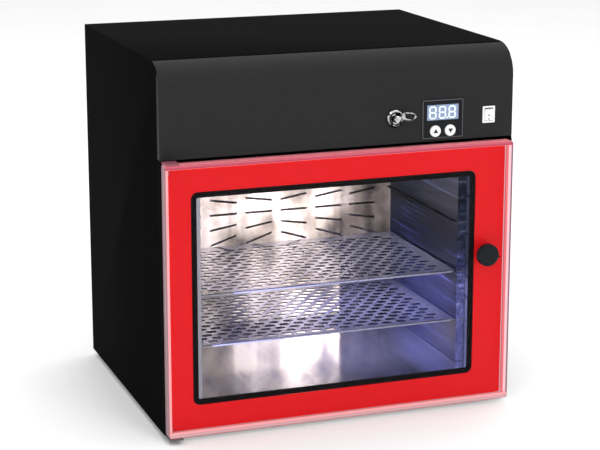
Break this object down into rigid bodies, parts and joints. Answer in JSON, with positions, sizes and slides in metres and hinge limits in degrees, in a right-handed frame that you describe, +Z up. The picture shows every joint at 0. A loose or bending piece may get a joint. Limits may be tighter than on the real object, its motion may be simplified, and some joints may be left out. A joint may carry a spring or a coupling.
{
  "type": "laboratory incubator",
  "caption": "Bench-top laboratory incubator with a lamp-lit steel chamber, sliding perforated shelves, a fan baffle, a control fascia and a red, windowed, side-hinged door.",
  "frame": {"origin": "middle of the object's footprint box, on the surface its feet stand on", "axes": "+Z up, +X to the right as the door is faced, +Y from the door towards the rear panel"},
  "size_m": [0.45, 0.3892, 0.456],
  "materials": {
    "black_powder_coat": "fine satin powder coat",
    "charcoal_paint": "satin paint",
    "black_plastic": "moulded matte plastic",
    "black_rubber": "matte rubber",
    "red_panel": "smooth gloss red sheet",
    "clear_acrylic": "clear polished acrylic slab",
    "clear_glass": "clear sheet glass",
    "brushed_stainless": "brushed stainless sheet",
    "galvanised_steel": "dull zinc-coated steel",
    "polished_chrome": "polished chrome plate",
    "white_plastic": "smooth white plastic",
    "mineral_wool": "pressed mineral-wool slab",
    "aluminium": "mill-finish aluminium",
    "circuit_board": "glass-fibre circuit board with components",
    "display_lens": "dark tinted display lens",
    "lamp_glass": "frosted quartz lamp tube",
    "white_ceramic": "matte ceramic lamp socket",
    "grey_silicone": "soft silicone seal"
  },
  "bodies": {
    "cabinet": {"outer_wrapper": "black_powder_coat", "control_fascia": "charcoal_paint", "base_pan": "galvanised_steel", "rear_panel": "black_powder_coat", "front_frame": "black_powder_coat", "chamber_liner": "brushed_stainless", "insulation_left": "mineral_wool", "insulation_right": "mineral_wool", "insulation_top": "mineral_wool", "insulation_bottom": "mineral_wool", "insulation_rear": "mineral_wool", "electronics_deck": "galvanised_steel", "foot_front_left": "black_rubber", "foot_front_right": "black_rubber", "foot_rear_left": "black_rubber", "foot_rear_right": "black_rubber", "rear_baffle": "brushed_stainless", "shelf_rack_left": "brushed_stainless", "shelf_rack_right": "brushed_stainless", "heater_element": "galvanised_steel", "temperature_probe": "polished_chrome", "uv_lamp_tube": "lamp_glass", "lamp_socket_left": "white_ceramic", "lamp_socket_right": "white_ceramic", "lamp_reflector": "aluminium", "fan_motor": "galvanised_steel", "lamp_ballast": "galvanised_steel", "mains_transformer": "galvanised_steel", "control_board": "circuit_board", "power_inlet": "black_plastic", "fuse_holder": "black_plastic", "key_lock_barrel": "polished_chrome", "controller_body": "black_plastic", "display_window": "display_lens", "rocker_housing": "white_plastic", "hinge_bracket_top": "black_powder_coat", "hinge_bracket_bottom": "black_powder_coat", "latch_keeper": "black_plastic", "door_seal": "grey_silicone", "door_sensor": "black_plastic"},
    "fan": {"fan_blade": "aluminium", "fan_shaft": "polished_chrome"},
    "door": {"door_cover": "clear_acrylic", "door_panel": "red_panel", "door_liner": "brushed_stainless", "window_gasket": "black_rubber", "window_glass": "clear_glass", "door_magnet": "galvanised_steel", "hinge_pin_top": "polished_chrome", "hinge_pin_bottom": "polished_chrome"},
    "latch": {"latch_knob": "black_plastic", "latch_shaft": "polished_chrome", "latch_cam": "galvanised_steel"},
    "key_switch": {"lock_plug": "polished_chrome", "key": "polished_chrome"},
    "up_button": {"up_button": "white_plastic"},
    "down_button": {"down_button": "white_plastic"},
    "power_rocker": {"rocker": "white_plastic"},
    "lower_shelf": {"shelf_lower": "brushed_stainless"},
    "upper_shelf": {"shelf_upper": "brushed_stainless"}
  },
  "joints": [
    {"name": "door_hinge", "type": "hinge", "parent": "cabinet", "child": "door", "pos_m": [-0.219, -0.17915, 0.175], "axis": [0, 0, -1], "range_deg": [0, 110]},
    {"name": "latch_turn", "type": "hinge", "parent": "door", "child": "latch", "pos_m": [0.1855, -0.18615, 0.1995], "axis": [0, 1, 0], "range_deg": [0, 90]},
    {"name": "key_turn", "type": "hinge", "parent": "cabinet", "child": "key_switch", "pos_m": [0.068, -0.16835, 0.3745], "axis": [0, 1, 0], "range_deg": [0, 90]},
    {"name": "up_button_press", "type": "slide", "parent": "cabinet", "child": "up_button", "axis": [0, 1, 0], "range_m": [0, 0.0008], "stiffness_N_per_m": 300, "springref_m": -0.0008},
    {"name": "down_button_press", "type": "slide", "parent": "cabinet", "child": "down_button", "axis": [0, 1, 0], "range_m": [0, 0.0008], "stiffness_N_per_m": 300, "springref_m": -0.0008},
    {"name": "power_rocker_tilt", "type": "hinge", "parent": "cabinet", "child": "power_rocker", "pos_m": [0.1921, -0.16835, 0.372], "axis": [-1, 0, 0], "range_deg": [0, 20]},
    {"name": "lower_shelf_slide", "type": "slide", "parent": "cabinet", "child": "lower_shelf", "axis": [0, -1, 0], "range_m": [0, 0.05]},
    {"name": "upper_shelf_slide", "type": "slide", "parent": "cabinet", "child": "upper_shelf", "axis": [0, -1, 0], "range_m": [0, 0.05]},
    {"name": "fan_spin", "type": "hinge", "parent": "cabinet", "child": "fan", "pos_m": [0.013, 0.13885, 0.2025], "axis": [0, 1, 0], "continuous": true}
  ]
}
